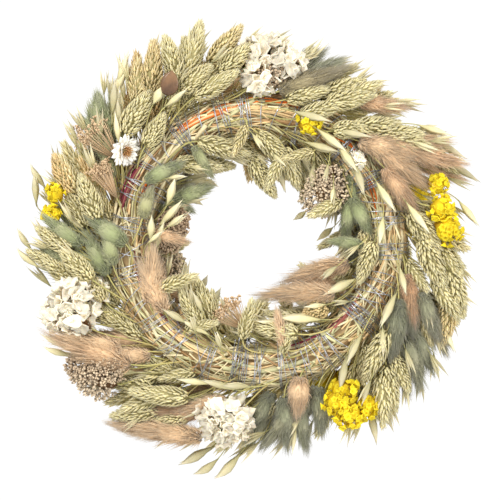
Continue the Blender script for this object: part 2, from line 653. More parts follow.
# Heads that fill in between the bunches: kind, how many round the ring, the first one's clock angle, the
# around angle that they leave the ring at, their lean off the ring and their stand-off from the wire in
# millimetres.
FILL_ROWS = (
    ("canary_grass", 24, 3, 14, 40, 12),
    ("grey_bunny_tail", 9, 14, 18, 42, 22),
    ("canary_grass", 18, 8, 58, 40, 8),
    ("beige_bunny_tail", 9, 24, 64, 38, 14),
    ("white_statice", 7, 12, 86, 30, 20),
    ("green_bunny_tail", 9, 4, 82, 34, 10),
    ("canary_grass", 18, 0, 100, 34, 8),
    ("yellow_statice", 7, 33, 92, 40, 12),
    ("beige_bunny_tail", 8, 20, 122, 36, 8),
    ("canary_grass", 12, 15, 140, 40, 6),
    ("brown_yarrow", 7, 5, 112, 38, 8),
    ("grey_bunny_tail", 7, 28, 134, 38, 8),
)
LOOSE_OATS = (
    (26, 0, -22, 34, 24),
    (34, 3, 6, 40, 44),
    (34, 1, 40, 42, 36),
    (40, 5, 196, 40, 8),
    (28, 0, 80, 34, 22),
    (28, 7, 130, 38, 14),
)


def row_of_heads(count, phase, around, lean, stand_off, length, width, rng, tone=0.5):
    """Heads at even clock angles: base = the ring's point at the around angle, axis = clockwise cos(lean) +
    normal sin(lean), both shaken a little."""
    clock = phase + np.arange(count) * 360 / count + rng.normal(0, 2.0, count)
    around = around + rng.normal(0, 6, count)
    base = ring_point(clock, around, BOUND_RADIUS + (stand_off + rng.normal(0, 3, count)) * MM)
    _, clockwise, normal = ring_directions(clock, around)
    lean = np.radians(lean + rng.normal(0, 7, count))[:, None]
    axis = clockwise * np.cos(lean) + normal * np.sin(lean)
    size = 0.88 + 0.24 * rng.random(count)
    tones = np.clip(tone + rng.normal(0, 0.22, count), 0, 1)
    base = kept_in_outline(base, axis, length * size, width * size)
    return Heads(base, axis, normal, length * size, width * size, tones, rng.normal(0, 0.05, (count, 3)))


HEADS_A_PIECE = 36

# The heads that show on the door side, where the stalks are bound. Each row is a head's middle (clock
# angle, then millimetres from the wreath's centre), its lean from clockwise towards outwards in degrees,
# how far it stands towards the door, its length and its width in millimetres, and its tone.
DOOR_HEADS = {
    "canary_grass": (
        (331, 124, 20, 2, 36, 18, 0.5),
        # the left side, up to the top
        (217, 120, 20, 2, 32, 15, 0.4), (247, 132, 36, 6, 34, 17, 0.5), (226, 126, 24, 2, 34, 16, 0.4),
        (253, 121, 14, 2, 32, 15, 0.4), (238, 120, 24, 4, 36, 18, 0.3), (243, 124, 30, 8, 34, 17, 0.4),
        (252, 126, 12, 16, 24, 15, 0.5), (260, 150, 48, 10, 44, 20, 0.3), (261, 138, 36, 20, 36, 19, 0.3),
        (265, 158, 60, 6, 40, 18, 0.2), (270, 154, 62, 14, 34, 18, 0.3), (280, 138, 44, 12, 36, 18, 0.4),
        (286, 131, 38, 22, 37, 20, 0.2), (290, 155, 38, 14, 35, 19, 0.98),
        (317, 132, 16, 22, 42, 22, 0.35), (319, 112, 6, 26, 30, 18, 0.4), (324, 146, 24, 10, 40, 19, 0.6),
        (328, 152, 44, 14, 46, 20, 0.75), (335, 152, 72, 16, 40, 20, 0.3),
        (339, 131, 34, 24, 34, 19, 0.45), (342, 153, 52, 12, 44, 20, 0.2),
        (346, 120, 10, 24, 44, 18, 0.4), (350, 149, 46, 10, 40, 19, 0.65),
        (353, 137, 28, 18, 38, 19, 0.3), (340, 140, 60, 4, 40, 19, 0.7),
        # the upper right
        (14, 126, 26, 6, 36, 18, 0.3), (20, 116, 36, 20, 38, 18, 0.2), (25, 108, 40, 25, 38, 18, 0.25),
        (28, 131, 50, 14, 42, 19, 0.2), (34, 128, 50, 19, 42, 19, 0.15), (40, 108, 55, 24, 28, 17, 0.3),
        (47, 124, 56, 18, 44, 19, 0.25), (54, 132, 60, 14, 42, 20, 0.25), (60, 137, 44, 18, 40, 20, 0.3),
        (66, 150, 40, 6, 38, 18, 0.4),
        # the right, down to the lower right
        (80, 122, 30, 8, 36, 18, 0.4), (88, 126, 36, 20, 42, 20, 0.2), (96, 146, 38, 10, 42, 20, 0.25),
        (101, 132, 42, 22, 46, 21, 0.2), (104, 156, 30, 14, 44, 20, 0.4), (112, 156, 28, 8, 42, 19, 0.75),
        (117, 142, 40, 4, 38, 18, 0.5), (134, 148, 66, 14, 32, 17, 0.3), (136, 124, 26, 23, 48, 19, 0.2),
        (140, 150, 58, 16, 40, 18, 0.3), (128, 136, 40, 8, 40, 18, 0.3),
        # the bottom, to the lower left
        (182, 132, 40, 4, 36, 18, 0.3), (200, 132, 30, 10, 40, 18, 0.3), (206, 150, 46, 14, 28, 16, 0.35),
        (212, 138, 26, 22, 46, 19, 0.25), (216, 160, 32, 12, 42, 18, 0.3), (222, 146, 30, 6, 40, 18, 0.3),
        # inside the ring
        (4, 46, -56, 10, 36, 18, 0.2), (12, 67, -36, 22, 42, 18, 0.25), (26, 58, -42, 16, 38, 18, 0.25),
        (38, 70, -34, 8, 36, 18, 0.3), (322, 72, -42, 16, 36, 17, 0.4), (340, 73, -36, 22, 42, 18, 0.3),
        (352, 66, -40, 12, 38, 18, 0.3), (330, 66, -30, 6, 34, 17, 0.4), (91, 81, -10, 16, 24, 17, 0.55),
        (102, 82, -6, 24, 36, 17, 0.25), (142, 68, -20, 18, 22, 19, 0.9), (170, 68, -28, 22, 38, 19, 0.2),
        (160, 62, -30, 8, 34, 17, 0.4), (222, 61, -26, 14, 40, 18, 0.3), (226, 72, -10, 22, 36, 17, 0.3),
        (212, 66, -30, 6, 34, 17, 0.4),
    ),
    "beige_bunny_tail": (
        (42, 137, 30, 12, 36, 15, 0.75), (55, 118, 40, 26, 44, 19, 0.2), (63, 120, 34, 27, 56, 20, 0.45),
        (70, 113, 28, 27, 42, 18, 0.75), (59, 132, 40, 20, 44, 18, 0.6), (110, 122, 28, 18, 38, 16, 0.95),
        (166, 121, 70, 22, 30, 24, 0.5), (204, 141, 30, 14, 42, 18, 0.9),
        (205, 160, 20, 14, 56, 20, 0.05), (211, 166, 26, 8, 50, 20, 0.1), (196, 130, 36, 18, 34, 16, 0.5),
        (236, 150, 40, 26, 64, 22, 0.6), (245, 86, 0, 26, 42, 17, 0.45), (251, 84, -24, 22, 42, 17, 0.2),
        (256, 80, -12, 14, 38, 17, 0.6), (119, 50, -61, 16, 50, 18, 0.5), (136, 52, -44, 12, 46, 17, 0.7),
        (144, 50, -36, 19, 54, 17, 0.35),
    ),
    "green_bunny_tail": (
        (275, 114, 52, 26, 38, 21, 0.3), (264, 122, 20, 12, 40, 18, 0.2),
        (268, 112, 10, 20, 34, 17, 0.55), (290, 87, 0, 26, 26, 15, 0.85), (307, 86, -22, 25, 34, 17, 0.3),
        (304, 136, 44, 10, 34, 16, 0.6), (309, 155, 62, 10, 38, 19, 0.2), (304, 150, 78, 6, 34, 16, 0.1),
        (308, 58, -25, 14, 38, 17, 0.35), (300, 66, -20, 8, 34, 16, 0.5), (78, 68, -26, 16, 38, 16, 0.1),
        (79, 80, 14, 20, 36, 16, 0.3), (68, 76, -10, 12, 38, 16, 0.2),
    ),
    "grey_bunny_tail": (
        (17, 126, 42, 20, 48, 18, 1.0), (21, 132, 45, 12, 42, 18, 0.9), (113, 140, 40, 16, 38, 18, 0.5),
        (118, 152, 46, 8, 38, 17, 0.7), (123, 124, 25, 24, 48, 20, 0.1), (126, 152, 42, 10, 38, 17, 0.2),
        (116, 128, 30, 12, 40, 17, 0.3), (160, 138, 70, 12, 40, 19, 0.1), (164, 144, 80, 10, 40, 18, 0.2),
        (172, 140, 76, 14, 42, 18, 0.3), (178, 132, 60, 8, 40, 18, 0.4), (272, 145, 50, 12, 24, 15, 0.9),
        (245, 134, 50, 2, 34, 16, 0.2), (255, 126, 20, 2, 34, 16, 0.3), (92, 74, -34, 8, 38, 16, 0.3),
    ),
    "white_statice": (
        (1, 122, 50, 18, 22, 20, 0.5), (3, 140, 60, 14, 24, 20, 0.3), (9, 134, 40, 20, 22, 18, 0.4),
        (244, 146, 30, 22, 24, 22, 0.2), (248, 158, 50, 16, 24, 22, 0.1), (252, 148, 40, 20, 24, 22, 0.1),
        (186, 132, 60, 22, 20, 19, 0.3), (190, 143, 70, 18, 20, 19, 0.3), (195, 134, 50, 22, 20, 19, 0.4),
        (50, 94, 20, 24, 12, 11, 0.4),
    ),
    "yellow_statice": (
        (23, 96, 40, 27, 18, 15, 0.3), (72, 141, 60, 18, 16, 14, 0.3), (78, 139, 60, 22, 18, 17, 0.3),
        (86, 142, 60, 20, 22, 20, 0.4), (146, 149, 70, 16, 19, 18, 0.3), (151, 130, 60, 22, 20, 19, 0.2),
        (155, 136, 60, 24, 22, 20, 0.3), (153, 146, 70, 20, 22, 20, 0.5), (277, 156, 60, 14, 15, 14, 0.2),
        (282, 156, 60, 16, 15, 13, 0.3),
    ),
    "brown_umbel": (
        (291, 121, 55, 22, 30, 18, 0.4), (300, 138, 80, 18, 36, 32, 0.4), (198, 60, -30, 16, 26, 30, 0.6),
    ),
    "brown_yarrow": (
        (4, 126, 50, 17, 30, 20, 0.7), (55, 58, -46, 14, 34, 28, 0.3), (50, 70, -40, 14, 24, 22, 0.4),
        (60, 68, -50, 10, 24, 22, 0.3), (229, 160, 36, 12, 34, 26, 0.4), (232, 148, 40, 14, 34, 26, 0.6),
        (234, 162, 40, 10, 28, 22, 0.7), (276, 66, -40, 14, 22, 20, 0.9), (282, 64, -40, 10, 20, 18, 1.0),
        (271, 68, -40, 10, 20, 18, 0.8),
    ),
    "oat": (
        # the long bundle at the upper left, and those that lie on the ring
        (309, 134, 42, 22, 28, 5, 0.2), (313, 146, 36, 16, 34, 6, 0.2), (318, 158, 30, 12, 34, 6, 0.1),
        (312, 140, 46, 18, 32, 5, 0.3), (315, 152, 40, 20, 30, 6, 0.3), (321, 150, 30, 8, 34, 5, 0.1),
        (322, 164, 36, 14, 30, 5, 0.2), (326, 131, 30, 32, 18, 7, 0.9), (329, 122, 10, 31, 24, 5, 0.5),
        (24, 100, 14, 30, 34, 6, 0.7), (36, 92, 2, 28, 32, 6, 0.6), (42, 106, 34, 28, 34, 5, 0.4),
        (48, 90, -4, 28, 30, 6, 0.6), (59, 88, -12, 30, 28, 6, 0.5), (73, 100, 10, 30, 30, 6, 0.6),
        (82, 120, 26, 29, 34, 6, 0.3), (86, 92, -16, 28, 24, 6, 0.5), (104, 112, 22, 29, 24, 5, 0.6),
        (118, 110, 6, 28, 34, 6, 0.5), (130, 120, 34, 28, 26, 5, 0.4), (137, 108, 16, 28, 30, 5, 0.5),
        (148, 118, 44, 27, 32, 6, 0.4), (196, 112, -4, 26, 32, 5, 0.6), (205, 116, 12, 26, 28, 5, 0.6),
        (188, 110, 2, 26, 24, 5, 0.5), (216, 80, 10, 26, 28, 5, 0.7), (229, 84, 26, 26, 24, 5, 0.6),
        (270, 74, -24, 24, 28, 6, 0.7), (278, 80, -6, 26, 22, 6, 0.7), (287, 68, -30, 22, 30, 6, 0.7),
        (300, 74, 6, 28, 24, 6, 0.4), (120, 70, -30, 22, 32, 7, 0.4), (152, 66, -34, 24, 38, 7, 0.3),
        (166, 64, -20, 20, 36, 6, 0.3), (18, 52, -58, 12, 32, 6, 0.5), (41, 62, -46, 18, 28, 6, 0.6),
        (33, 84, 6, 22, 32, 6, 0.8),
        # those that stick out past the other heads
        (283, 172, 22, 8, 30, 5, 0.6), (286, 174, 44, 4, 28, 5, 0.7), (264, 176, 54, 6, 30, 5, 0.5),
        (268, 178, 38, 4, 26, 5, 0.6), (244, 170, 36, 10, 30, 5, 0.4), (240, 174, 44, 6, 28, 5, 0.3),
        (189, 174, 60, 8, 36, 7, 0.4), (193, 179, 56, 6, 32, 7, 0.3), (197, 170, 40, 4, 34, 7, 0.5),
        (148, 164, 66, 8, 34, 6, 0.4), (143, 164, 70, 4, 30, 5, 0.5), (120, 160, 36, 8, 30, 5, 0.6),
        (41, 143, 60, 6, 26, 5, 0.6), (58, 156, 40, 10, 30, 5, 0.6), (65, 160, 36, 6, 32, 5, 0.5),
        (72, 163, 34, 8, 32, 5, 0.6), (80, 160, 28, 4, 28, 5, 0.7),
    ),
}


def planned_heads(rows, rng):
    """Heads at rows of the door side: base = middle - axis length / 2, axis = clockwise cos(lean) + outward
    sin(lean), tipped a little to either side of the ring's plane."""
    clock, radius, lean, height, length, width, tone = np.array(rows, float).T
    clock, lean = clock + rng.normal(0, 1.0, len(clock)), lean + rng.normal(0, 5, len(clock))
    outward, clockwise, _ = ring_directions(clock, 0)
    lean = np.radians(lean)[:, None]
    axis = clockwise * np.cos(lean) + outward * np.sin(lean) + FRONT * rng.normal(0.02, 0.07, (len(clock), 1))
    axis = unit(axis)
    middle = CENTRE + outward * (radius * MM)[:, None] - FRONT * (height * MM)[:, None]
    base = middle - axis * (length * MM / 2)[:, None]
    facing = outward * 0.2 - FRONT
    bend = rng.normal(0, 0.05, (len(clock), 3))
    return Heads(base, axis, facing, length * MM, 1.05 * width * MM, tone, bend)


# ---------------------------------------------------------------------------------------------
# Materials
# ---------------------------------------------------------------------------------------------


def paint(red, green, blue):
    """A display colour from 0 to 255 as linear red, green and blue."""
    value = np.array([red, green, blue]) / 255
    linear = np.where(value <= 0.04045, value / 12.92, ((value + 0.055) / 1.055) ** 2.4)
    return tuple(float(c) for c in linear)


class Nodes:
    """Adds nodes to a tree and links them by socket name."""

    def __init__(self, tree):
        self.tree = tree
        tree.nodes.clear()

    def add(self, kind, inputs=None, **settings):
        node = self.tree.nodes.new(kind)
        for name, value in settings.items():
            setattr(node, name, value)
        for name, value in (inputs or {}).items():
            if isinstance(value, bpy.types.NodeSocket):
                self.tree.links.new(value, node.inputs[name])
            else:
                node.inputs[name].default_value = value
        return node

    def mix(self, amount, first, second, blend="MIX"):
        """A colour mix by sockets or values, returned as its output socket."""
        node = self.add("ShaderNodeMix", data_type="RGBA", blend_type=blend)
        for index, value in ((0, amount), (6, first), (7, second)):
            if isinstance(value, bpy.types.NodeSocket):
                self.tree.links.new(value, node.inputs[index])
            else:
                node.inputs[index].default_value = value
        return node.outputs[2]

    def span(self, value, low, high, to_low=0.0, to_high=1.0):
        """A value mapped from one range to another, and kept inside it."""
        inputs = {"Value": value, "From Min": low, "From Max": high, "To Min": to_low, "To Max": to_high}
        return self.add("ShaderNodeMapRange", inputs).outputs["Result"]


def open_group(name, inputs, outputs):
    """A node group with named sockets, its nodes helper and its input and output nodes."""
    group = bpy.data.node_groups.new(name, "ShaderNodeTree")
    nodes = Nodes(group)
    for socket, kind, default in inputs:
        made = group.interface.new_socket(socket, in_out="INPUT", socket_type=kind)
        made.default_value = default
    for socket, kind in outputs:
        group.interface.new_socket(socket, in_out="OUTPUT", socket_type=kind)
    return group, nodes, nodes.add("NodeGroupInput"), nodes.add("NodeGroupOutput")


def dried_plant_group():
    """Colour from foot to tip along each scale or hair, turned towards a second tone by head, lighter and
    darker by scale, blotched by a noise, and a fine fibre height."""
    colour, number = "NodeSocketColor", "NodeSocketFloat"
    group, nodes, given, put = open_group(
        "Dried plant",
        [
            ("Foot", colour, (0.1, 0.1, 0.05, 1)),
            ("Middle", colour, (0.4, 0.4, 0.2, 1)),
            ("Tip", colour, (0.7, 0.7, 0.4, 1)),
            ("Other Tone", colour, (0.6, 0.4, 0.2, 1)),
            ("Tone Share", number, 0.5),
            ("Unevenness", number, 0.3),
            ("Blotch Scale", number, 160.0),
            ("Fibre Scale", number, 900.0),
        ],
        [("Color", colour), ("Roughness", number), ("Height", number)],
    )
    growth = nodes.add("ShaderNodeAttribute", attribute_name="growth")
    parts = nodes.add("ShaderNodeSeparateColor", {"Color": growth.outputs["Color"]})
    along, tint, tone = (parts.outputs[name] for name in ("Red", "Green", "Blue"))
    ridge = growth.outputs["Alpha"]
    place = nodes.add("ShaderNodeTexCoord").outputs["Object"]
    blotch = {"Vector": place, "Scale": given.outputs["Blotch Scale"], "Detail": 3.0}
    blotch = nodes.add("ShaderNodeTexNoise", blotch)
    fibre = {"Vector": place, "Scale": given.outputs["Fibre Scale"], "Detail": 2.0}
    fibre = nodes.add("ShaderNodeTexNoise", fibre)
    low = nodes.mix(nodes.span(along, 0.0, 0.42), given.outputs["Foot"], given.outputs["Middle"])
    full = nodes.mix(nodes.span(along, 0.42, 1.0), low, given.outputs["Tip"])
    drift = nodes.add("ShaderNodeMath", operation="MULTIPLY")
    nodes.tree.links.new(nodes.span(tone, 0.42, 1.0), drift.inputs[0])
    nodes.tree.links.new(given.outputs["Tone Share"], drift.inputs[1])
    toned = nodes.mix(drift.outputs[0], full, nodes.mix(0.55, full, given.outputs["Other Tone"], "MIX"))
    light = nodes.span(tint, 0.0, 1.0, 0.72, 1.18)
    raised = nodes.span(ridge, 0.0, 1.0, 0.88, 1.1)
    light = nodes.add("ShaderNodeMath", {0: light, 1: raised}, operation="MULTIPLY")
    shade = nodes.add("ShaderNodeMath", operation="MULTIPLY_ADD")
    nodes.tree.links.new(blotch.outputs["Fac"], shade.inputs[0])
    nodes.tree.links.new(given.outputs["Unevenness"], shade.inputs[1])
    even = nodes.add("ShaderNodeMath", {0: 1.0, 1: given.outputs["Unevenness"]}, operation="SUBTRACT")
    nodes.tree.links.new(even.outputs[0], shade.inputs[2])
    value = nodes.add("ShaderNodeMath", {0: light.outputs[0], 1: shade.outputs[0]}, operation="MULTIPLY")
    grey = nodes.add("ShaderNodeCombineColor", {name: value.outputs[0] for name in ("Red", "Green", "Blue")})
    final = nodes.mix(1.0, toned, grey.outputs["Color"], "MULTIPLY")
    nodes.tree.links.new(final, put.inputs["Color"])
    nodes.tree.links.new(nodes.span(fibre.outputs["Fac"], 0.3, 0.7, 0.62, 0.86), put.inputs["Roughness"])
    nodes.tree.links.new(fibre.outputs["Fac"], put.inputs["Height"])
    return group


GROUPS = {}


def dried_material(
    name, foot, middle, tip, other=None, share=0.5, unevenness=0.35, bump=0.25, sheen=0.0, thin=0.0, gloss=0.0
):
    """A dried plant's finish: the shared group's colour, roughness and fibre height on a principled
    shader."""
    material = bpy.data.materials.new(name)
    material.use_nodes = True
    nodes = Nodes(material.node_tree)
    group = nodes.add("ShaderNodeGroup", node_tree=GROUPS["plant"])
    for socket, value in (("Foot", foot), ("Middle", middle), ("Tip", tip), ("Other Tone", other or tip)):
        group.inputs[socket].default_value = (*value, 1)
    group.inputs["Tone Share"].default_value = share
    group.inputs["Unevenness"].default_value = unevenness
    height = group.outputs["Height"]
    rough = nodes.add("ShaderNodeBump", {"Height": height, "Strength": bump, "Distance": 0.2 * MM})
    shader = nodes.add(
        "ShaderNodeBsdfPrincipled",
        {
            "Base Color": group.outputs["Color"],
            "Roughness": group.outputs["Roughness"],
            "Normal": rough.outputs["Normal"],
            "Specular IOR Level": 0.3,
            "Sheen Weight": sheen,
            "Sheen Roughness": 0.5,
            "Coat Weight": gloss,
            "Coat Roughness": 0.2,
            "Subsurface Weight": thin,
            "Subsurface Scale": 1.2 * MM,
        },
    )
    shader.inputs["Subsurface Radius"].default_value = (1.0, 0.7, 0.4)
    out = nodes.add("ShaderNodeOutputMaterial", {"Surface": shader.outputs["BSDF"]})
    out.is_active_output = True
    return material


def wire_material(name, colour, rust):
    """Drawn wire: dull metal, with darker tarnish in blotches that are rougher too."""
    material = bpy.data.materials.new(name)
    material.use_nodes = True
    nodes = Nodes(material.node_tree)
    place = nodes.add("ShaderNodeTexCoord").outputs["Object"]
    blotch = nodes.add("ShaderNodeTexNoise", {"Vector": place, "Scale": 240.0, "Detail": 4.0}).outputs["Fac"]
    mask = nodes.span(blotch, 0.42, 0.62)
    base = nodes.mix(mask, (*colour, 1), (*rust, 1))
    rough = nodes.span(mask, 0.0, 1.0, 0.32, 0.55)
    shader = nodes.add("ShaderNodeBsdfPrincipled", {"Base Color": base, "Roughness": rough, "Metallic": 0.85})
    nodes.add("ShaderNodeOutputMaterial", {"Surface": shader.outputs["BSDF"]})
    return material


MATERIALS = {}


# ---------------------------------------------------------------------------------------------
# What a user would change
# ---------------------------------------------------------------------------------------------

# Second tones of the tails and of the straws, and the paints of the straws.
TAIL_TONES = {
    "beige_bunny_tail": (226, 166, 116),
    "green_bunny_tail": (222, 204, 150),
    "grey_bunny_tail": (196, 164, 112),
}
STRAW_TONE = (236, 190, 128)
STRAW_PAINTS = {
    "straw": (254, 240, 194),
    "tan_straw": (254, 218, 160),
    "sage_straw": (232, 226, 172),
    "brown_straw": (190, 150, 104),
    "orange_straw": (242, 120, 34),
    "magenta_straw": (142, 42, 72),
    "violet_straw": (146, 146, 180),
}


def size_property(name, description, default):
    """A length that a user can set."""
    return FloatProperty(name=name, description=description, default=default, min=0.0, unit="LENGTH")


def colour_property(name, description, *display):
    """A colour that a user can set, given as a display colour."""
    settings = {"name": name, "description": description, "subtype": "COLOR", "min": 0.0, "max": 1.0}
    return FloatVectorProperty(default=paint(*display), **settings)


class WreathSizes(bpy.types.PropertyGroup):
    """The sizes of the plants, straw and wire."""

    canary_length: size_property("Canary head", "Length of a head of canary grass", 39 * MM)
    canary_width: size_property("Canary width", "Width of a head of canary grass", 17.5 * MM)
    tail_length: size_property("Tail length", "Length of a bunny tail without its brush", 42 * MM)
    tail_width: size_property("Tail width", "Width of a bunny tail", 17 * MM)
    oat_length: size_property("Oat length", "Length of an oat husk", 25 * MM)
    oat_width: size_property("Oat width", "Width of an oat husk", 5.6 * MM)
    straw_width: size_property("Straw width", "Width of a stalk in the ring", 1.7 * MM)
    wire_width: size_property("Wire width", "Width of the binding wire", 0.7 * MM)
    straws: IntProperty(name="Straws", description="How many stalks lie round the ring", default=940, min=10)
    seed: IntProperty(name="Seed", description="Start of every random choice", default=11)


class WreathColours(bpy.types.PropertyGroup):
    """The middle colour of each plant, and the colours of the straw and the wire."""

    canary_grass: colour_property("Canary grass", "Middle of a scale", 230, 217, 160)
    canary_tip: colour_property("Canary tip", "Tip of a scale", 244, 235, 196)
    canary_gold: colour_property("Canary gold", "The riper heads", 241, 190, 118)
    beige_tail: colour_property("Beige tail", "Peach and tan tails", 250, 214, 168)
    green_tail: colour_property("Green tail", "Jade tails", 165, 173, 122)
    grey_tail: colour_property("Grey tail", "Olive and grey tails", 158, 160, 128)
    oat: colour_property("Oat", "Oat husks", 216, 205, 158)
    white_statice: colour_property("White statice", "Cream petals", 254, 244, 220)
    yellow_statice: colour_property("Yellow statice", "Yellow petals", 246, 214, 26)
    umbel: colour_property("Umbel", "Brown umbels", 232, 198, 154)
    yarrow: colour_property("Yarrow", "Brown florets", 214, 196, 170)
    straw: colour_property("Straw", "Bleached straw", *STRAW_PAINTS["straw"])
    wire: colour_property("Wire", "Galvanized wire", 206, 208, 214)
    dark_wire: colour_property("Dark wire", "Tarnished wire", 150, 152, 158)


def sizes():
    """The scene's sizes for the wreath."""
    return bpy.context.scene.wreath_sizes


def colours():
    """The scene's colours for the wreath."""
    return bpy.context.scene.wreath_colours


def dimmed(colour, share):
    """A colour made darker by a share."""
    return tuple(c * share for c in colour)


def blended(first, second, share):
    """A colour between two others."""
    return tuple(a + (b - a) * share for a, b in zip(first, second))


def random_for(name):
    """A random generator that depends only on the seed and a piece's name."""
    return np.random.default_rng([sizes().seed, *name.encode()])


# ---------------------------------------------------------------------------------------------
# Operators: one for each group of like pieces
# ---------------------------------------------------------------------------------------------


class WREATH_OT_materials(bpy.types.Operator):
    """Mix the finishes of the plants, the straw and the wire"""

    bl_idname = "wreath.materials"
    bl_label = "Finishes"

    def execute(self, context):
        c = colours()
        GROUPS["plant"] = dried_plant_group()
        made = {
            "canary_grass": dried_material(
                "canary_scales", paint(208, 195, 138), c.canary_grass, c.canary_tip, c.canary_gold, 0.95,
                thin=0.1,
            ),
            "canary_core": dried_material(
                "canary_shadow", paint(163, 152, 95), paint(191, 179, 120), paint(208, 196, 138)
            ),
            "oat": dried_material(
                "oat_husk", paint(176, 170, 116), c.oat, paint(238, 228, 196), paint(196, 190, 144), 0.8, 0.3,
                thin=0.15,
            ),
            "white_statice": dried_material(
                "cream_petals", paint(226, 196, 150), c.white_statice, paint(252, 242, 218),
                paint(240, 214, 170), 0.6, 0.2, thin=0.2,
            ),
            "yellow_statice": dried_material(
                "yellow_petals", paint(168, 116, 8), c.yellow_statice, paint(255, 232, 50),
                paint(226, 176, 10), 0.7, 0.2,
            ),
            "brown_umbel": dried_material(
                "umbel_rays", dimmed(c.umbel, 0.5), c.umbel, paint(245, 215, 175), paint(180, 137, 95), 0.6
            ),
            "brown_yarrow": dried_material(
                "yarrow_florets", dimmed(c.yarrow, 0.4), c.yarrow, paint(252, 226, 187), paint(139, 97, 61),
                1.0,
            ),
            "branch": dried_material(
                "brown_branch", paint(104, 70, 41), paint(135, 97, 59), paint(171, 135, 89)
            ),
            "stem": dried_material(
                "green_stem", paint(215, 188, 124), paint(200, 188, 120), paint(184, 179, 114),
                paint(232, 196, 134), 1.0,
            ),
            "strawflower": dried_material(
                "white_bracts", paint(226, 206, 160), paint(246, 240, 224), paint(255, 252, 244), None,
                0.2, 0.12,
            ),
            "strawflower_eye": dried_material(
                "orange_eye", paint(156, 96, 44), paint(206, 146, 84), paint(236, 190, 128)
            ),
            "seed_pod": dried_material(
                "brown_pod", paint(96, 64, 40), paint(134, 96, 64), paint(170, 128, 88), None, 0.2, 0.8,
                gloss=0.6,
            ),
            "galvanized_wire": wire_material("galvanized_wire", c.wire, dimmed(c.wire, 0.45)),
            "dark_wire": wire_material(
                "dark_wire", blended(c.dark_wire, c.wire, 0.35), dimmed(c.dark_wire, 0.5)
            ),
        }
        for kind, middle in zip(TAIL_KINDS, (c.beige_tail, c.green_tail, c.grey_tail)):
            tip = blended(middle, paint(248, 232, 202), 0.4)
            tone = paint(*TAIL_TONES[kind])
            foot = dimmed(middle, 0.6)
            made[kind] = dried_material(kind + "_hair", foot, middle, tip, tone, 0.75, 0.3, 0.1, sheen=0.3)
        straws = {name: paint(*display) for name, display in STRAW_PAINTS.items()}
        straws["straw"] = c.straw
        for name, middle in straws.items():
            foot, tip = dimmed(middle, 0.9), dimmed(middle, 0.94)
            made[name] = dried_material(name + "_stalk", foot, middle, tip, paint(*STRAW_TONE), 0.5, 0.4, 0.4)
        MATERIALS.update(made)
        return {"FINISHED"}


# Dyed and broken stalks that show on the bound side: paint, first and last clock angle, around angle and
# how many.
DYED_STRAWS = (
    ("orange_straw", 322, 350, 286, 5),
    ("orange_straw", 352, 12, 292, 3),
    ("orange_straw", 60, 72, 262, 3),
    ("orange_straw", 38, 46, 280, 3),
    ("orange_straw", 292, 304, 255, 3),
    ("magenta_straw", 284, 304, 296, 6),
    ("magenta_straw", 120, 152, 236, 3),
    ("magenta_straw", 146, 170, 232, 2),
    ("magenta_straw", 230, 262, 250, 2),
    ("violet_straw", 219, 228, 262, 3),
    ("tan_straw", 200, 256, 262, 4),
    ("tan_straw", 40, 64, 250, 4),
    ("tan_straw", 350, 30, 284, 4),
)


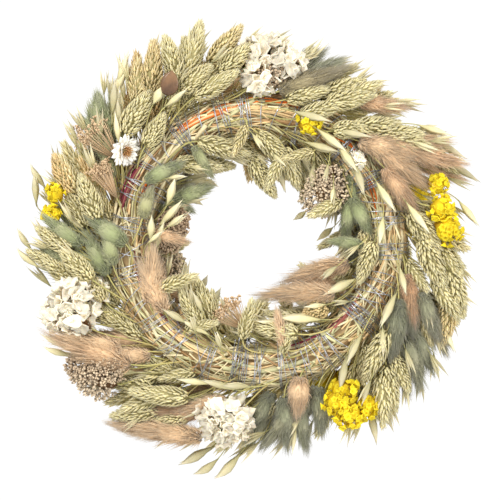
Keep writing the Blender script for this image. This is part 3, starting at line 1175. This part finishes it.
class WREATH_OT_straw(bpy.types.Operator):
    """Pack stalks round the ring, with the dyed and broken ones that show between the turns of wire"""

    bl_idname = "wreath.straw"
    bl_label = "Straw ring"

    def execute(self, context):
        rng = random_for("straw")
        growth = Growth()
        names = list(STRAW_PAINTS)
        self.packed_core(growth, names.index("tan_straw"))
        chances = [0.42, 0.2, 0.31, 0.07]
        pick = rng.choice(4, sizes().straws, p=chances)
        for index in range(4):
            self.stalks(growth, rng, int(np.sum(pick == index)), index)
        for name, first, last, around, count in DYED_STRAWS:
            self.dyed(growth, rng, first, (last - first) % 360, around, count, names.index(name))
        self.broken_ends(growth, rng, names)
        growth.piece("straw_stalks", [MATERIALS[name] for name in names], "straw", ["straw_ring"])
        return {"FINISHED"}

    def packed_core(self, growth, finish):
        """A dark lumpy ring under the stalks: radius 0.88 of the straw's, with a swell of sin(23 clock)."""
        clock = np.linspace(0, 360, 121)
        around = np.arange(16) / 16 * 360
        c, a = np.meshgrid(clock[:-1], around, indexing="ij")
        swell = 1 + 0.03 * np.sin(np.radians(23 * c)) * np.cos(np.radians(3 * a))
        points = ring_point(c, -a, STRAW_RADIUS * 0.88 * swell).reshape(-1, 3)
        k, j = np.meshgrid(np.arange(120), np.arange(16), indexing="ij")
        here, beside = k * 16 + j, k * 16 + (j + 1) % 16
        ahead, across = (k + 1) % 120 * 16 + j, (k + 1) % 120 * 16 + (j + 1) % 16
        faces = np.concatenate([np.stack([here, beside, across], -1), np.stack([here, across, ahead], -1)])
        growth.add(points, faces.reshape(-1, 3), 0.0, 0.1, 0.2, 0.5, finish)

    def stalks(self, growth, rng, count, finish):
        """Long stalks: clock = start + span t, around = start + drift t, distance = layer + ripple sin(t)."""
        t = np.linspace(0, 1, 12)
        clock = rng.uniform(0, 360, (count, 1)) + rng.uniform(16, 46, (count, 1)) * t
        around = rng.uniform(0, 360, (count, 1)) + rng.normal(0, 34, (count, 1)) * t
        ripple = rng.uniform(0, 0.9, (count, 1)) * np.sin(rng.uniform(0, 6, (count, 1)) + 7 * t)
        layer = STRAW_RADIUS + (rng.uniform(-0.9, 2.6, (count, 1)) + ripple) * MM
        self.lay(growth, rng, clock, around, layer, finish)

    def dyed(self, growth, rng, first, span, around, count, finish):
        """Stalks that lie on top from one clock angle to another."""
        t = np.linspace(0, 1, 14)
        clock = first + rng.normal(0, 2, (count, 1)) + (span + rng.normal(0, 3, (count, 1))) * t
        around = around + rng.normal(0, 9, (count, 1)) + rng.normal(0, 8, (count, 1)) * t
        layer = STRAW_RADIUS + (2.7 + rng.uniform(0, 0.6, (count, 1)) - 2.2 * np.abs(2 * t - 1) ** 5) * MM
        self.lay(growth, rng, clock, around, layer, finish, 0.0)

    def broken_ends(self, growth, rng, names):
        """Short ends that stand a little off the ring between the turns, over the whole bound side."""
        t = np.linspace(0, 1, 6)
        for index, count in enumerate((210, 120, 170, 50)):
            clock = rng.uniform(0, 360, (count, 1)) + rng.uniform(3, 14, (count, 1)) * t
            around = rng.uniform(190, 350, (count, 1)) + rng.normal(0, 34, (count, 1)) * t
            layer = STRAW_RADIUS + (1.6 + rng.uniform(0.0, 3.4, (count, 1)) * t**2) * MM
            self.lay(growth, rng, clock, around, layer, index)

    def lay(self, growth, rng, clock, around, layer, finish, leaves=0.16):
        """Flattened tubes on the ring, through the points at those angles and distances. A share of them
        are leaves, which are wider."""
        paths = ring_point(clock, around, layer)
        facing = ring_directions(clock, around)[2]
        count, steps = clock.shape
        broad = np.where(rng.random((count, 1)) < leaves, rng.uniform(1.6, 2.6, (count, 1)), 1.0)
        width = sizes().straw_width / 2 * rng.uniform(0.45, 1.1, (count, 1)) * broad * np.ones(steps)
        tint, tone = rng.random(count), rng.random(count)
        growth.tubes(paths, width, facing, tint, tone, sides=5, flat=0.6, finish=finish)


class WREATH_OT_wire(bpy.types.Operator):
    """Wind the binding wire round the ring, unevenly and with crossings, and the close turns of the ties"""

    bl_idname = "wreath.wire"
    bl_label = "Binding wire"

    # Where turns lie close together: clock angle and how many.
    BANDS = (
        (354, 4), (20, 3), (45, 5), (82, 3), (96, 5), (110, 3), (147, 4), (158, 3), (167, 4), (181, 3),
        (204, 3), (219, 5), (232, 3), (254, 5), (277, 4), (292, 3), (306, 4), (342, 3),
    )

    # The steps in degrees between one turn and the next, repeated round the ring, and how the wire crosses
    # back.
    STEPS = (9, 3, 14, 6, 2, 11, 4, 15, 2, 7)
    BACK_STEPS = (-26, -7, -34, -16, -5, -38)

    TIE_TURNS = 9
    POINTS_A_TURN = 26

    def execute(self, context):
        rng = random_for("wire")
        growth = Growth()
        self.winding(growth, rng, 20, self.STEPS, 358, 3.9 * MM)
        self.winding(growth, rng, 300, self.BACK_STEPS, 340, 4.4 * MM)
        for clock, turns in self.BANDS:
            self.band(growth, rng, clock, turns, 4.6 * MM)
        growth.piece("wire_winding", [MATERIALS["galvanized_wire"]], "galvanized_wire", ["binding_wire"])
        ties = sorted(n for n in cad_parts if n.startswith("tie_wire"))
        if not ties:
            raise ValueError("the frame has no wire bands")
        for node in ties:
            self.tie(node)
        return {"FINISHED"}

    def winding(self, growth, rng, first, steps, reach, layer):
        """One wire: around = 360 turn, clock runs through the turns' own angles, distance = layer with a slow
        tremble, drawn in a little where the wire bites into the straw."""
        total, angles = 0, [first]
        while abs(total) < reach:
            step = steps[len(angles) % len(steps)]
            total += step
            angles.append(first + total)
        turn = np.linspace(0, len(angles) - 1, (len(angles) - 1) * self.POINTS_A_TURN)
        clock = np.interp(turn, np.arange(len(angles)), angles)
        clock = clock + 2.6 * np.sin(2 * math.pi * turn + 2.4 * np.sin(0.9 * turn + rng.uniform(0, 6)))
        bite = 0.5 * np.sin(3.1 * turn) + 0.35 * np.sin(2 * math.pi * 3 * turn + 2 * np.sin(turn))
        distance = STRAW_RADIUS + layer + bite * MM * 0.6
        around = 360 * turn
        paths = ring_point(clock, around, distance)[None]
        facing = ring_directions(clock, around)[2][None]
        growth.tubes(paths, sizes().wire_width / 2, facing, 0.5, 0.5, sides=6)

    def band(self, growth, rng, clock_at, turns, layer):
        """A few close turns: clock swings once by the band's width, and around runs a full circle a turn."""
        turn = np.linspace(0, turns, turns * self.POINTS_A_TURN)
        swing = np.degrees(turns * 1.1 * MM / RING_RADIUS)
        clock = clock_at + swing * np.sin(1.7 * turn + rng.uniform(0, 6))
        clock = clock + 1.5 * np.sin(2 * math.pi * turn + 2.2 * np.sin(1.4 * turn))
        distance = STRAW_RADIUS + layer + 0.4 * MM * np.sin(3.1 * turn + rng.uniform(0, 6))
        around = 360 * turn
        facing = ring_directions(clock, around)[2][None]
        paths = ring_point(clock, around, distance)[None]
        growth.tubes(paths, sizes().wire_width * 0.4, facing, 0.5, 0.5, sides=6)

    def tie(self, node):
        """A tie: close turns at its node's clock angle, a few of them crossing the rest."""
        low, high = (np.array(corner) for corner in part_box(node))
        clock_at = ring_place((low + high) / 2)[0]
        width = np.degrees(6 * MM / RING_RADIUS)
        turns = self.TIE_TURNS
        turn = np.linspace(0, turns, turns * self.POINTS_A_TURN)
        sweep = 0.5 - 0.5 * np.cos(turn / turns * 3 * math.pi)
        clock = clock_at + width * 1.5 * (sweep - 0.5) + 0.6 * np.sin(2 * math.pi * turn + 1.0)
        distance = STRAW_RADIUS + 5.0 * MM + 0.8 * MM * np.sin(2.3 * turn)
        growth = Growth()
        paths = ring_point(clock, 360 * turn, distance)[None]
        facing = ring_directions(clock, 360 * turn)[2][None]
        growth.tubes(paths, sizes().wire_width / 2, facing, 0.4, 0.5, sides=6)
        growth.piece(node + "_turns", [MATERIALS["dark_wire"]], "dark_wire", [node])


def add_side_oats(growth, bunch, rng, finish):
    """Oats beside a bunch, on thin stalks."""
    heads = bunch.heads(SIDE_OATS, sizes().oat_length, sizes().oat_width, rng, 0.4, spread=14)
    grow_oats(growth, heads, rng, finish)
    grow_stems(growth, heads, rng, finish + 1, 0.35 * MM, 22)


def plant_bunches(kinds, plant):
    """Calls plant(growth, bunch, rng) for each bunch of these kinds and makes its piece."""
    planted = [bunch for bunch in BUNCHES if bunch.kind in kinds]
    if not planted:
        raise ValueError(f"the frame has no bunch of {kinds}")
    for bunch in planted:
        rng = random_for(bunch.node)
        growth = Growth()
        materials = plant(growth, bunch, rng)
        growth.piece(bunch.node + "_heads", materials, bunch.kind, [bunch.node])


def plant_fill(kind, plant_row):
    """One piece for all the loose heads of a kind that fill in between the bunches."""
    rows = [row[1:] for row in FILL_ROWS if row[0] == kind]
    if not rows:
        raise ValueError(f"no rows of {kind} are planted")
    for index, row in enumerate(rows):
        growth = Growth()
        name = f"{kind}_fill_{index + 1}"
        materials = plant_row(growth, row, random_for(name))
        growth.piece(name, materials, kind)


def plant_door_side(kind, grow_heads, materials, stem_finish, thick=0.6 * MM):
    """The heads of a kind that show on the door side, with their stems, in pieces of up to HEADS_A_PIECE."""
    rows = DOOR_HEADS[kind]
    for part, first in enumerate(range(0, len(rows), HEADS_A_PIECE)):
        name = f"{kind}_door_side_{part + 1}"
        rng = random_for(name)
        growth = Growth()
        heads = planned_heads(rows[first : first + HEADS_A_PIECE], rng)
        grow_heads(growth, heads, rng)
        grow_stems(growth, heads, rng, stem_finish, thick)
        growth.piece(name, materials, kind)


class WREATH_OT_canary(bpy.types.Operator):
    """Grow the heads of canary grass, in their bunches and between them"""

    bl_idname = "wreath.canary"
    bl_label = "Canary grass"

    def execute(self, context):
        size = (sizes().canary_length, sizes().canary_width)
        finishes = [MATERIALS[name] for name in ("canary_grass", "canary_core", "stem", "oat", "stem")]

        def bunch_of(growth, bunch, rng):
            tone = 0.85 if bunch.slot in (30, 34) else 0.3
            heads = bunch.heads(CANARY_ROWS, *size, rng, tone)
            grow_canary(growth, heads, rng)
            grow_stems(growth, heads, rng, 2)
            add_side_oats(growth, bunch, rng, 3)
            return finishes

        def row_of(growth, row, rng):
            heads = row_of_heads(*row, *size, rng, 0.35)
            grow_canary(growth, heads, rng)
            grow_stems(growth, heads, rng, 2)
            return finishes[:3]

        def door_side(growth, heads, rng):
            grow_canary(growth, heads, rng, 250)

        plant_bunches(("canary_grass",), bunch_of)
        plant_fill("canary_grass", row_of)
        plant_door_side("canary_grass", door_side, finishes[:3], 2)
        return {"FINISHED"}


class WREATH_OT_tails(bpy.types.Operator):
    """Grow the bunny tails, in their bunches and between them"""

    bl_idname = "wreath.tails"
    bl_label = "Bunny tails"

    def execute(self, context):
        size = (sizes().tail_length, sizes().tail_width)
        brushes = {"beige_bunny_tail": 0.42, "green_bunny_tail": 0.26, "grey_bunny_tail": 0.34}
        for kind in TAIL_KINDS:
            finishes = [MATERIALS[name] for name in (kind, "oat", "stem", "stem")]

            def bunch_of(growth, bunch, rng):
                heads = bunch.heads(TAIL_ROWS, *size, rng, 0.5)
                grow_tails(growth, heads, rng, brush=brushes[kind])
                grow_stems(growth, heads, rng, 3)
                add_side_oats(growth, bunch, rng, 1)
                return finishes

            def row_of(growth, row, rng):
                heads = row_of_heads(*row, *size, rng, 0.5)
                grow_tails(growth, heads, rng, brush=brushes[kind])
                grow_stems(growth, heads, rng, 3)
                return finishes

            def door_side(growth, heads, rng):
                grow_tails(growth, heads, rng, 1300, brushes[kind])

            plant_bunches((kind,), bunch_of)
            plant_fill(kind, row_of)
            plant_door_side(kind, door_side, finishes, 3)
        return {"FINISHED"}


class WREATH_OT_oats(bpy.types.Operator):
    """Grow the oats, in their bunches and loose all round the wreath"""

    bl_idname = "wreath.oats"
    bl_label = "Oats"

    def execute(self, context):
        size = (sizes().oat_length, sizes().oat_width)
        finishes = [MATERIALS["oat"], MATERIALS["stem"]]

        def bunch_of(growth, bunch, rng):
            heads = bunch.heads(OAT_ROWS, *size, rng, 0.4, spread=12)
            grow_oats(growth, heads, rng, 0)
            grow_stems(growth, heads, rng, 1, 0.4 * MM)
            husks = bunch.heads(OAT_ROWS[:5], size[0] * 2.2, size[1] * 1.5, rng, 0.2, spread=7)
            grow_oats(growth, husks, rng, 0)
            return finishes

        def door_side(growth, heads, rng):
            grow_oats(growth, heads, rng, 0)

        plant_bunches(("oat",), bunch_of)
        plant_door_side("oat", door_side, finishes, 1, 0.4 * MM)
        growth = Growth()
        rng = random_for("loose_oats")
        for count, phase, around, lean, stand_off in LOOSE_OATS:
            heads = row_of_heads(count, phase, around, lean, stand_off, *size, rng, 0.4)
            grow_oats(growth, heads, rng, 0)
            grow_stems(growth, heads, rng, 1, 0.35 * MM, 18)
        growth.piece("loose_oats", finishes, "oat")
        return {"FINISHED"}


class WREATH_OT_statice(bpy.types.Operator):
    """Grow the cream and yellow statice"""

    bl_idname = "wreath.statice"
    bl_label = "Statice"

    def execute(self, context):
        for kind, cups, cup_size in (("white_statice", 24, 5.4 * MM), ("yellow_statice", 68, 2.5 * MM)):
            finishes = [MATERIALS[kind], MATERIALS["branch"], MATERIALS["stem"]]
            packed = kind == "yellow_statice"
            few = cups * 2 // 3

            def bunch_of(growth, bunch, rng):
                rows = CLUSTER_ROWS[1:] if packed else CLUSTER_ROWS[:1]
                heads = bunch.heads(rows, bunch.length * 0.5, bunch.width * 0.66, rng, 0.4)
                grow_cups(growth, heads, rng, few, cup_size * 1.2, packed)
                grow_stems(growth, heads, rng, 2)
                return finishes

            def row_of(growth, row, rng):
                heads = row_of_heads(*row, 22 * MM, 20 * MM, rng, 0.4)
                grow_cups(growth, heads, rng, few, cup_size * 1.2, packed)
                grow_stems(growth, heads, rng, 2)
                return finishes

            def door_side(growth, heads, rng):
                grow_cups(growth, heads, rng, cups, cup_size, packed)

            plant_bunches((kind,), bunch_of)
            plant_fill(kind, row_of)
            plant_door_side(kind, door_side, finishes, 2)
        return {"FINISHED"}


class WREATH_OT_umbels(bpy.types.Operator):
    """Grow the brown umbels and the brown yarrow"""

    bl_idname = "wreath.umbels"
    bl_label = "Umbels and yarrow"

    def execute(self, context):
        umbel = [MATERIALS["brown_umbel"], MATERIALS["stem"]]
        yarrow = [MATERIALS["brown_yarrow"], MATERIALS["branch"], MATERIALS["stem"]]

        def umbel_bunch(growth, bunch, rng):
            heads = bunch.heads(UMBEL_ROWS, bunch.length * 0.85, bunch.width * 0.7, rng, 0.4)
            grow_umbels(growth, heads, rng)
            grow_stems(growth, heads, rng, 1)
            return umbel

        def yarrow_bunch(growth, bunch, rng):
            heads = bunch.heads(CLUSTER_ROWS, bunch.length * 0.52, bunch.width * 0.7, rng, 0.4)
            grow_florets(growth, heads, rng)
            grow_stems(growth, heads, rng, 2)
            return yarrow

        def yarrow_row(growth, row, rng):
            heads = row_of_heads(*row, 22 * MM, 19 * MM, rng, 0.4)
            grow_florets(growth, heads, rng)
            grow_stems(growth, heads, rng, 2)
            return yarrow

        def yarrow_door_side(growth, heads, rng):
            grow_florets(growth, heads, rng, 640)

        plant_bunches(("brown_umbel",), umbel_bunch)
        plant_bunches(("brown_yarrow",), yarrow_bunch)
        plant_fill("brown_yarrow", yarrow_row)
        plant_door_side("brown_umbel", grow_umbels, umbel, 1)
        plant_door_side("brown_yarrow", yarrow_door_side, yarrow, 2)
        return {"FINISHED"}


class WREATH_OT_single_flowers(bpy.types.Operator):
    """Grow the one white strawflower and the one brown seed pod"""

    bl_idname = "wreath.single_flowers"
    bl_label = "Strawflower and pod"

    # The rings of bracts: how many, their tilt from the flower's aim in degrees and their length in
    # millimetres.
    BRACT_RINGS = ((18, 80, 11), (17, 62, 10.5), (15, 46, 9), (12, 30, 7))
    FLOWER_AIM = (0.85, -0.95, -0.35)

    def execute(self, context):
        plant_bunches(("strawflower",), self.strawflower)
        plant_bunches(("seed_pod",), self.pod)
        return {"FINISHED"}

    def strawflower(self, growth, bunch, rng):
        """Four rings of pointed bracts, each ring steeper than the last, round a dome of fine bristles. The
        flower faces the door side and outwards."""
        centre = bunch.base + bunch.axis * bunch.length * 0.4 - FRONT * 9 * MM
        aim = unit(np.array(self.FLOWER_AIM))
        side, rise = basis(aim[None], bunch.axis[None])[0, :2]
        for ring, (count, tilt, length) in enumerate(self.BRACT_RINGS):
            angle = (np.arange(count) + 0.5 * (ring % 2)) / count * 2 * math.pi + rng.normal(0, 0.06, count)
            out = side * np.cos(angle)[:, None] + rise * np.sin(angle)[:, None]
            tilt = np.radians(tilt + rng.normal(0, 5, count))[:, None]
            direction = aim * np.cos(tilt) + out * np.sin(tilt)
            length = length * (0.9 + 0.2 * rng.random(count)) * MM
            sizes_of = np.stack([length * 0.24, length * 0.24, length], -1)
            facing = aim - out * 0.2
            origins = centre + out * 2.2 * MM
            growth.copies(BRACT, origins, basis(direction, facing), sizes_of, rng.random(count), 0.3)
        order = (np.arange(90) + 0.5) / 90
        angle = np.arange(90) * GOLDEN_ANGLE
        polar = np.arccos(1 - order)
        out = side * np.cos(angle)[:, None] + rise * np.sin(angle)[:, None]
        direction = aim * np.cos(polar)[:, None] + out * np.sin(polar)[:, None]
        origins = centre + direction * 2.6 * MM
        spikes = np.array([0.5, 0.5, 5.0]) * MM * np.ones((90, 3))
        axes = basis(direction, np.broadcast_to(side, origins.shape) + 0.01)
        growth.copies(SEED, origins, axes, spikes, rng.random(90), 0.4, 1)
        heads = bunch.heads(((0.0, 0.0, 0.0, 1.0),), 9 * MM, 9 * MM, rng)
        grow_stems(growth, heads, rng, 2)
        return [MATERIALS[name] for name in ("strawflower", "strawflower_eye", "stem")]

    def pod(self, growth, bunch, rng):
        """A smooth egg with six soft ribs and a short pointed cap."""
        angle = np.arange(36) / 36 * 2 * math.pi
        share = np.linspace(0.03, 0.97, 22)
        half = 6.4 * np.sin(math.pi * share**0.85) ** 0.55 + 0.25
        ribs = 1 + 0.07 * np.cos(6 * angle)
        x = half[:, None] * np.cos(angle) * ribs
        y = half[:, None] * np.sin(angle) * ribs
        z = np.broadcast_to(share[:, None] * 19, x.shape)
        points = np.concatenate([[[0, 0, 0.3]], np.stack([x, y, z], -1).reshape(-1, 3), [[0, 0, 20.5]]]) * MM
        frame_of = basis(bunch.axis[None], bunch.facing[None])[0]
        clock, around, _ = ring_place(bunch.base)
        outward, clockwise, _ = ring_directions(clock, around)
        start = bunch.base - clockwise * 28 * MM + outward * 6 * MM - FRONT * 16 * MM
        growth.add(points @ frame_of + start, closed_faces(22, 36), points[:, 2] / (20.5 * MM), 0.6, 0.2, 0.6)
        heads = bunch.heads(((0.0, 0.0, 0.0, 1.0),), 9 * MM, 9 * MM, rng)
        grow_stems(growth, heads, rng, 1)
        return [MATERIALS["seed_pod"], MATERIALS["stem"]]


class WREATH_OT_hoop(bpy.types.Operator):
    """Give the steel hoop inside the straw its finish"""

    bl_idname = "wreath.hoop"
    bl_label = "Hoop"

    def execute(self, context):
        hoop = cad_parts.get("hoop")
        if hoop is None:
            raise ValueError("the frame has no hoop")
        hoop.data.materials.clear()
        hoop.data.materials.append(MATERIALS["dark_wire"])
        return {"FINISHED"}


class WREATH_OT_stage(bpy.types.Operator):
    """Set the pale floor, the soft studio light and the camera on the door side"""

    bl_idname = "wreath.stage"
    bl_label = "Stage"

    CAMERA_DISTANCE = 2.0
    VIEW_WIDTH = 0.378
    VIEW_CENTRE = (-0.006, -0.0075)
    FLOOR_DROP = 1.3

    def execute(self, context):
        scene = context.scene
        self.camera(scene)
        self.floor(scene)
        self.lights(scene)
        scene.view_settings.view_transform = "Standard"
        scene.view_settings.look = "None"
        return {"FINISHED"}

    def camera(self, scene):
        data = bpy.data.cameras.new("camera")
        data.sensor_width = 36
        data.lens = data.sensor_width * self.CAMERA_DISTANCE / self.VIEW_WIDTH
        camera = bpy.data.objects.new("camera", data)
        scene.collection.objects.link(camera)
        across, up = self.VIEW_CENTRE
        camera.location = (CENTRE[0] + across, -self.CAMERA_DISTANCE, CENTRE[2] + up)
        camera.rotation_euler = (math.pi / 2, 0, 0)
        scene.camera = camera

    def floor(self, scene):
        """A round pale floor well below the wreath, which hangs at the height of a door."""
        angle = np.arange(64) / 64 * 2 * math.pi
        rim = np.stack([1.6 * np.cos(angle), 1.6 * np.sin(angle), np.zeros(64)], 1)
        rim[:, 2] = CENTRE[2] - self.FLOOR_DROP
        mesh = bpy.data.meshes.new("floor")
        mesh.from_pydata(rim.tolist(), [], [list(range(64))])
        floor = bpy.data.objects.new("floor", mesh)
        material = bpy.data.materials.new("pale_floor")
        material.use_nodes = True
        nodes = Nodes(material.node_tree)
        place = nodes.add("ShaderNodeTexCoord").outputs["Object"]
        grain = nodes.add("ShaderNodeTexNoise", {"Vector": place, "Scale": 30.0}).outputs["Fac"]
        colour = nodes.mix(grain, (0.86, 0.86, 0.85, 1), (0.9, 0.9, 0.89, 1))
        shader = nodes.add("ShaderNodeBsdfPrincipled", {"Base Color": colour, "Roughness": 0.8})
        nodes.add("ShaderNodeOutputMaterial", {"Surface": shader.outputs["BSDF"]})
        mesh.materials.append(material)
        scene.collection.objects.link(floor)

    def lights(self, scene):
        """A white world that looks full white and lights softly, a large key, and a weaker light from
        behind."""
        world = bpy.data.worlds.new("studio")
        world.use_nodes = True
        nodes = Nodes(world.node_tree)
        seen = nodes.add("ShaderNodeLightPath").outputs["Is Camera Ray"]
        soft = nodes.add("ShaderNodeBackground", {"Color": (1, 1, 1, 1), "Strength": 0.93})
        white = nodes.add("ShaderNodeBackground", {"Color": (1, 1, 1, 1), "Strength": 1.05})
        both = nodes.add("ShaderNodeMixShader", {0: seen, 1: soft.outputs[0], 2: white.outputs[0]})
        nodes.add("ShaderNodeOutputWorld", {"Surface": both.outputs[0]})
        scene.world = world
        self.area_light(scene, "key", (-0.9, -1.6, 1.2), 0.9, 34)
        self.area_light(scene, "fill", (1.3, -1.3, 0.1), 1.2, 14)
        self.area_light(scene, "front", (0.8, 1.7, 1.1), 1.0, 34)

    def area_light(self, scene, name, place, size, power):
        data = bpy.data.lights.new(name, "AREA")
        data.shape = "DISK"
        data.size = size
        data.energy = power
        light = bpy.data.objects.new(name, data)
        scene.collection.objects.link(light)
        light.location = CENTRE + np.array(place)
        light.rotation_euler = aim_at(light.location, CENTRE)


def aim_at(place, target):
    """The turn that points a light's or camera's -Z from a place to a target."""
    return (Vector(target) - Vector(place)).to_track_quat("-Z", "Y").to_euler()


class WREATH_PT_panel(bpy.types.Panel):
    """Lists the wreath's operators, sizes and colours"""

    bl_idname = "WREATH_PT_panel"
    bl_label = "Harvest wreath"
    bl_space_type = "VIEW_3D"
    bl_region_type = "UI"
    bl_category = "Wreath"

    def draw(self, context):
        for operator in OPERATORS:
            self.layout.operator(operator.bl_idname)
        for group in (context.scene.wreath_sizes, context.scene.wreath_colours):
            for name in group.bl_rna.properties.keys():
                if name not in ("rna_type", "name"):
                    self.layout.prop(group, name)


OPERATORS = (
    WREATH_OT_materials,
    WREATH_OT_hoop,
    WREATH_OT_straw,
    WREATH_OT_wire,
    WREATH_OT_canary,
    WREATH_OT_tails,
    WREATH_OT_oats,
    WREATH_OT_statice,
    WREATH_OT_umbels,
    WREATH_OT_single_flowers,
    WREATH_OT_stage,
)
CLASSES = (WreathSizes, WreathColours, *OPERATORS, WREATH_PT_panel)


def register():
    for cls in CLASSES:
        bpy.utils.register_class(cls)
    bpy.types.Scene.wreath_sizes = PointerProperty(type=WreathSizes)
    bpy.types.Scene.wreath_colours = PointerProperty(type=WreathColours)


def unregister():
    del bpy.types.Scene.wreath_colours
    del bpy.types.Scene.wreath_sizes
    for cls in reversed(CLASSES):
        bpy.utils.unregister_class(cls)


def main():
    """Registers the add-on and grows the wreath."""
    register()
    for operator in OPERATORS:
        group, name = operator.bl_idname.split(".")
        getattr(getattr(bpy.ops, group), name)()


if __name__ == "__main__":
    main()
